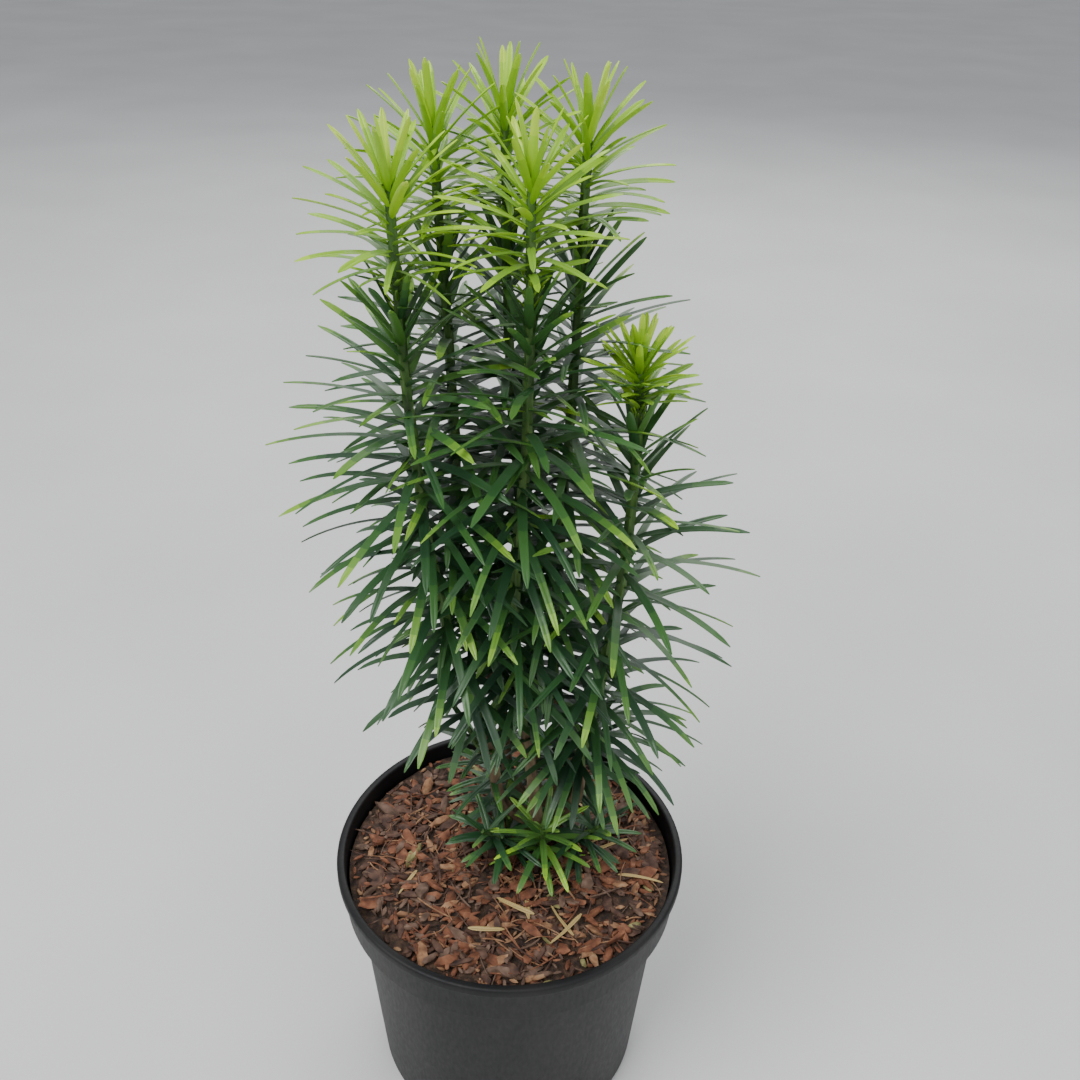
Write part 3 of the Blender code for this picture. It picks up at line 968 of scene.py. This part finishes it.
@dataclass
class Pot:
    """The round nursery pot: rounded lip, wide collar, step and tapering body, in moulded black plastic."""

    sides: int = 144
    arc_points: int = 5
    wall: float = 1.7 * MM
    floor: float = 2.5 * MM
    lip_radius: float = 95 * MM
    lip_height: float = 5 * MM
    lip_inner_round: float = 1.3 * MM
    lip_outer_round: float = 1.6 * MM
    lip_lower_round: float = 0.8 * MM
    collar_depth: float = 27 * MM
    step_drop: float = 3 * MM
    shoulder_radius: float = 84.5 * MM
    foot_radius: float = 75.5 * MM
    foot_round: float = 1.8 * MM
    sharp_angle: float = math.radians(40)

    def outline(self) -> list[tuple[float, float]]:
        """The turned outline, from the middle of the inside floor over the lip to the underside's middle.

        Returns:
            Its points, each a radius and a height.
        """
        collar_foot = POT_HEIGHT - self.collar_depth
        shoulder = collar_foot - self.step_drop
        lip_foot = POT_HEIGHT - self.lip_height
        inside = COLLAR_RADIUS - self.wall
        inner, outer, lower = self.lip_inner_round, self.lip_outer_round, self.lip_lower_round
        points = [
            (0.0, self.floor),
            (self.foot_radius - self.wall, self.floor),
            (self.shoulder_radius - self.wall, shoulder + self.wall),
            (inside - 1 * MM, collar_foot + self.wall),
            (inside, POT_HEIGHT - 2 * MM),
        ]
        points += self._arc(inside + inner, POT_HEIGHT - inner, inner, 180, 90)
        points += self._arc(self.lip_radius - outer, POT_HEIGHT - outer, outer, 90, 0)
        points += self._arc(self.lip_radius - lower, lip_foot + lower, lower, 0, -90)
        points += [
            (COLLAR_RADIUS + 0.4 * MM, lip_foot),
            (COLLAR_RADIUS, lip_foot - 0.6 * MM),
            (COLLAR_RADIUS - 0.8 * MM, collar_foot + 1.2 * MM),
            (COLLAR_RADIUS - 1.6 * MM, collar_foot),
            (self.shoulder_radius + 1.2 * MM, shoulder + 0.6 * MM),
            (self.shoulder_radius, shoulder - 0.8 * MM),
            (self.foot_radius + 0.2 * MM, 2.4 * MM),
        ]
        points += self._arc(self.foot_radius - self.foot_round, self.foot_round, self.foot_round, 0, -90)
        points.append((0.0, 0.0))
        return points

    def _arc(
        self, x: float, z: float, radius: float, start: float, end: float
    ) -> list[tuple[float, float]]:
        """Points of an arc about a centre.

        Args:
            x: The centre's distance from the axis.
            z: The centre's height.
            radius: The arc's radius.
            start: Its first angle, in degrees.
            end: Its last angle, in degrees.

        Returns:
            The points.
        """
        angles = np.radians(np.linspace(start, end, self.arc_points))
        return [(x + radius * math.cos(angle), z + radius * math.sin(angle)) for angle in angles]

    def build(self) -> None:
        """Turn the outline and dress it."""
        outline = self.outline()
        mesh = bpy.data.meshes.new("nursery_pot")
        edges = [(i, i + 1) for i in range(len(outline) - 1)]
        mesh.from_pydata([(radius, 0.0, height) for radius, height in outline], edges, [])
        made = bpy.data.objects.new("nursery_pot", mesh)
        bpy.context.scene.collection.objects.link(made)
        screw = made.modifiers.new("Turn", "SCREW")
        screw.axis = "Z"
        screw.steps = self.sides
        screw.render_steps = self.sides
        screw.use_merge_vertices = True
        screw.merge_threshold = 0.01 * MM
        graph = bpy.context.evaluated_depsgraph_get()
        turned = bpy.data.meshes.new_from_object(made.evaluated_get(graph))
        made.modifiers.clear()
        made.data = turned
        turned.materials.append(BLACK_PLASTIC.material())
        turned.shade_smooth()
        turned.set_sharp_from_angle(angle=self.sharp_angle)
        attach(made, BODY)
        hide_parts("pot")
        LOG.info("nursery_pot: %d faces", len(turned.polygons))


@dataclass
class MulchBed:
    """The uneven potting mix under the chips, closed down into the pot.

    The skirt's rings are a share of its reach and a height.
    """

    seed: int = 5
    rings: int = 40
    sides: int = 120
    middle: float = 0.004
    drop: float = 1.2 * MM
    rough: float = 0.5 * MM
    calm: float = 10 * MM
    skirt: tuple[tuple[float, float], ...] = ((0.826, 3 * MM), (0.923, 122 * MM))

    def build(self) -> None:
        """Build and dress the bed."""
        dice = random.Random(self.seed)
        rings = np.zeros((self.rings + 1, self.sides, 3))
        for row in range(self.rings + 1):
            radius = MULCH_REACH * max(1 - row / self.rings, self.middle)
            for side in range(self.sides):
                angle = math.tau * side / self.sides
                x, y = radius * math.cos(angle), radius * math.sin(angle)
                rough = dice.uniform(-self.rough, self.rough) * min(radius / self.calm, 1.0)
                rings[row, side] = (x, y, mulch_height(x, y) - self.drop + rough)
        skirt = np.repeat(rings[:1], len(self.skirt), axis=0)
        for ring, (share, level) in zip(skirt, self.skirt):
            ring[:, :2] *= share
            ring[:, 2] = level
        pile = Pile()
        pile.tube(np.concatenate((skirt, rings)), [0] * (self.rings + len(self.skirt)))
        pile.piece("potting_mix_bed", [POTTING_MIX.material()], "mulch", ("bark_mulch_fill",))


@dataclass
class BarkChips:
    """Angular chips of bark, many small and a few large, in five tints. Lengths are in mm.

    A chip is three rings, each a share of its size at a share of its thickness.
    """

    seed: int = 11
    count: int = 1900
    large: int = 23
    large_length: tuple[float, float] = (15, 23)
    least_length: float = 4.0
    more_length: float = 12
    length_curve: float = 2.6
    breadth: tuple[float, float] = (0.2, 0.55)
    thickness: tuple[float, float] = (0.09, 0.2)
    most_thickness: float = 2.6
    lift: tuple[float, float] = (-0.6, 2.2)
    lean: tuple[float, float] = (0.26, 0.22)
    edge: tuple[float, float] = (-0.28, 0.2)
    uneven: float = 0.14
    sides: int = 7
    rings: tuple[tuple[float, float], ...] = ((0.84, -0.5), (1.0, 0.05), (0.8, 0.5))
    tint_shares: tuple[float, ...] = (9, 7, 3, 5, 0.35)

    def length(self, index: int, dice: random.Random) -> float:
        """A chip's length.

        Args:
            index: The chip's number; the first ones are large.
            dice: The dice.

        Returns:
            The length.
        """
        if index < self.large:
            return dice.uniform(*self.large_length) * MM
        return (self.least_length + self.more_length * dice.random() ** self.length_curve) * MM

    def chip(self, index: int, dice: random.Random) -> np.ndarray:
        """The rings of one chip, lying on the mulch.

        Args:
            index: The chip's number.
            dice: The dice.

        Returns:
            Its points by ring and side.
        """
        length = self.length(index, dice)
        breadth = length * dice.uniform(*self.breadth)
        thick = min(length * dice.uniform(*self.thickness), self.most_thickness * MM)
        x, y = mulch_spot(dice, 0.5 * length)
        at = Vector((x, y, mulch_height(x, y) + dice.uniform(*self.lift) * MM))
        turn = Matrix.Rotation(dice.uniform(0, math.tau), 3, "Z")
        roll = Matrix.Rotation(dice.gauss(0, self.lean[0]), 3, "X")
        turn = turn @ (roll @ Matrix.Rotation(dice.gauss(0, self.lean[1]), 3, "Y"))
        edge = [1 + dice.uniform(*self.edge) for _ in range(self.sides)]
        rings = np.zeros((len(self.rings), self.sides, 3))
        for row, (scale, level) in enumerate(self.rings):
            for side in range(self.sides):
                angle = math.tau * side / self.sides
                spot = Vector(
                    (
                        0.5 * length * scale * edge[side] * math.cos(angle),
                        0.5 * breadth * scale * edge[(side + row) % self.sides] * math.sin(angle),
                        thick * (level + dice.uniform(-self.uneven, self.uneven)),
                    )
                )
                rings[row, side] = turn @ spot + at
        return rings

    def build(self) -> None:
        """Scatter and dress the chips."""
        dice = random.Random(self.seed)
        pile = Pile()
        for index in range(self.count):
            rings = self.chip(index, dice)
            tint = dice.choices(range(len(CHIP_FINISHES)), self.tint_shares)[0]
            pile.tube(rings, [tint] * (len(rings) - 1))
        pile.piece("bark_chips", [finish.material() for finish in CHIP_FINISHES], "mulch")


@dataclass
class BarkFibres:
    """Thin curved strands of bark. Lengths and radii are in mm, and bends in radians."""

    seed: int = 23
    count: int = 420
    length: tuple[float, float] = (8, 26)
    radius: tuple[float, float] = (0.22, 0.55)
    lift: tuple[float, float] = (0.8, 3.0)
    bend: float = 1.2
    slope: float = 0.12
    end_share: float = 0.5
    keep: float = 0.6
    rows: int = 7
    sides: int = 5

    def strand(self, dice: random.Random) -> np.ndarray:
        """The rings of one strand, lying on the mulch.

        Args:
            dice: The dice.

        Returns:
            Its points by ring and side.
        """
        length = dice.uniform(*self.length) * MM
        x, y = mulch_spot(dice, self.keep * length)
        heading = dice.uniform(0, math.tau)
        bend = dice.uniform(-self.bend, self.bend)
        radius = dice.uniform(*self.radius) * MM
        spot = Vector((x, y, mulch_height(x, y) + dice.uniform(*self.lift) * MM))
        slope = dice.uniform(-self.slope, self.slope)
        rings = np.zeros((self.rows, self.sides, 3))
        for row in range(self.rows):
            turn = heading + bend * row / self.rows
            along = Vector((math.cos(turn), math.sin(turn), slope))
            across = Vector((-along.y, along.x, 0.0))
            size = radius * (1.0 if 0 < row < self.rows - 1 else self.end_share)
            for side in range(self.sides):
                angle = math.tau * side / self.sides
                up = Vector((0, 0, math.sin(angle) * size))
                rings[row, side] = spot + across * (math.cos(angle) * size) + up
            spot = spot + along * (length / self.rows)
        return rings

    def build(self) -> None:
        """Scatter and dress the strands."""
        dice = random.Random(self.seed)
        pile = Pile()
        browns = range(len(CHIP_FINISHES) - 1)
        for _ in range(self.count):
            rings = self.strand(dice)
            pile.tube(rings, [dice.choice(browns)] * (self.rows - 1))
        pile.piece("bark_fibres", [finish.material() for finish in CHIP_FINISHES], "mulch")


@dataclass
class FallenNeedles:
    """Needles that lie on the mulch, dried to straw. Lengths are in mm and angles in radians."""

    seed: int = 31
    count: int = 16
    length: tuple[float, float] = (16, 27)
    width: float = 2.6
    keep: float = 22
    lift: float = 2.8
    sink: float = 0.5
    rise: float = 0.15
    droop: float = 0.2
    twist: float = 0.8
    sickle: float = 0.15
    roughness: float = 0.7

    def build(self) -> None:
        """Scatter and dress the needles."""
        dice = random.Random(self.seed)
        pile = Pile()
        shape = NeedleShape()
        for _ in range(self.count):
            x, y = mulch_spot(dice, self.keep * MM)
            outward = level_way(dice.uniform(0, math.tau))
            root = Vector((x, y, mulch_height(x, y) + self.lift * MM))
            needle = Needle(
                root=root,
                outward=outward,
                rise=dice.uniform(0.0, self.rise),
                droop=self.droop,
                length=dice.uniform(*self.length) * MM,
                width=self.width * MM,
                twist=dice.uniform(-self.twist, self.twist),
                sickle=dice.uniform(-self.sickle, self.sickle),
                floor=root.z - self.sink * MM,
            )
            needle.add_to(pile, shape, [0] * shape.stretches)
        pile.piece("dry_needles", [NeedleFinish(Green.DRY, roughness=self.roughness).material()], "mulch")


@dataclass(frozen=True)
class Lamp:
    """A soft square light: its place, its side and its power in watts."""

    name: str
    at: tuple[float, float, float]
    size: float
    power: float


@dataclass
class Studio:
    """Camera, soft lights and a pale floor."""

    centre: tuple[float, float, float] = (0.0124, -0.435, 0.609)
    pitch: float = math.radians(31.1)
    roll: float = math.radians(1.37)
    focal_share: float = 1100 / 1080
    sensor: float = 36.0
    clip_start: float = 0.01
    floor_size: float = 40.0
    floor_drop: float = 0.2 * MM
    aim: tuple[float, float, float] = (0.0, 0.0, 0.3)
    lamps: tuple[Lamp, ...] = (
        Lamp("key", (-1.1, -1.0, 2.2), 1.6, 62.0),
        Lamp("fill", (1.6, -1.2, 1.3), 2.0, 22.0),
        Lamp("back", (0.4, 1.7, 1.9), 1.8, 34.0),
    )
    sky: tuple[float, float, float] = (0.86, 0.89, 0.94)
    sky_strength: float = 0.55

    def camera(self) -> None:
        """The camera at the photo's place and angle."""
        right = Vector((1, 0, 0))
        ahead = Vector((0, math.cos(self.pitch), -math.sin(self.pitch)))
        above = Vector((0, math.sin(self.pitch), math.cos(self.pitch)))
        x_axis = math.cos(self.roll) * right + math.sin(self.roll) * above
        y_axis = -math.sin(self.roll) * right + math.cos(self.roll) * above
        data = bpy.data.cameras.new("camera")
        data.lens = self.sensor * self.focal_share
        data.sensor_width = self.sensor
        data.clip_start = self.clip_start
        made = bpy.data.objects.new("camera", data)
        bpy.context.scene.collection.objects.link(made)
        turn = Matrix((x_axis, y_axis, -ahead)).transposed().to_4x4()
        made.matrix_world = Matrix.Translation(self.centre) @ turn
        bpy.context.scene.camera = made

    def light(self, lamp: Lamp) -> None:
        """Hang one lamp, looking at the plant.

        Args:
            lamp: The lamp.
        """
        data = bpy.data.lights.new(lamp.name, "AREA")
        data.size = lamp.size
        data.energy = lamp.power
        made = bpy.data.objects.new(lamp.name, data)
        bpy.context.scene.collection.objects.link(made)
        made.location = lamp.at
        aim = Vector(self.aim) - Vector(lamp.at)
        made.rotation_euler = aim.to_track_quat("-Z", "Y").to_euler()

    def floor(self) -> None:
        """Lay the pale floor just under the pot."""
        bpy.ops.mesh.primitive_plane_add(size=self.floor_size, location=(0.0, 0.0, -self.floor_drop))
        made = bpy.context.object
        made.name = "studio_floor"
        made.data.materials.append(PALE_FLOOR.material())

    def build(self) -> None:
        """Set up the studio."""
        self.camera()
        self.floor()
        for lamp in self.lamps:
            self.light(lamp)
        world = bpy.data.worlds.new("studio")
        world.use_nodes = True
        ground = world.node_tree.nodes["Background"]
        ground.inputs["Color"].default_value = (*self.sky, 1.0)
        ground.inputs["Strength"].default_value = self.sky_strength
        bpy.context.scene.world = world


def main() -> None:
    """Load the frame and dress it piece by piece."""
    logging.basicConfig(level=logging.INFO, format="%(name)s %(message)s")
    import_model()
    mulch = (MulchBed(), BarkChips(), BarkFibres(), FallenNeedles())
    for part in (Studio(), Pot(), *mulch, Stems(), Foliage()):
        part.build()
        LOG.info("%s is in place", type(part).__name__)
    bpy.context.view_layer.update()


if __name__ == "__main__":
    main()
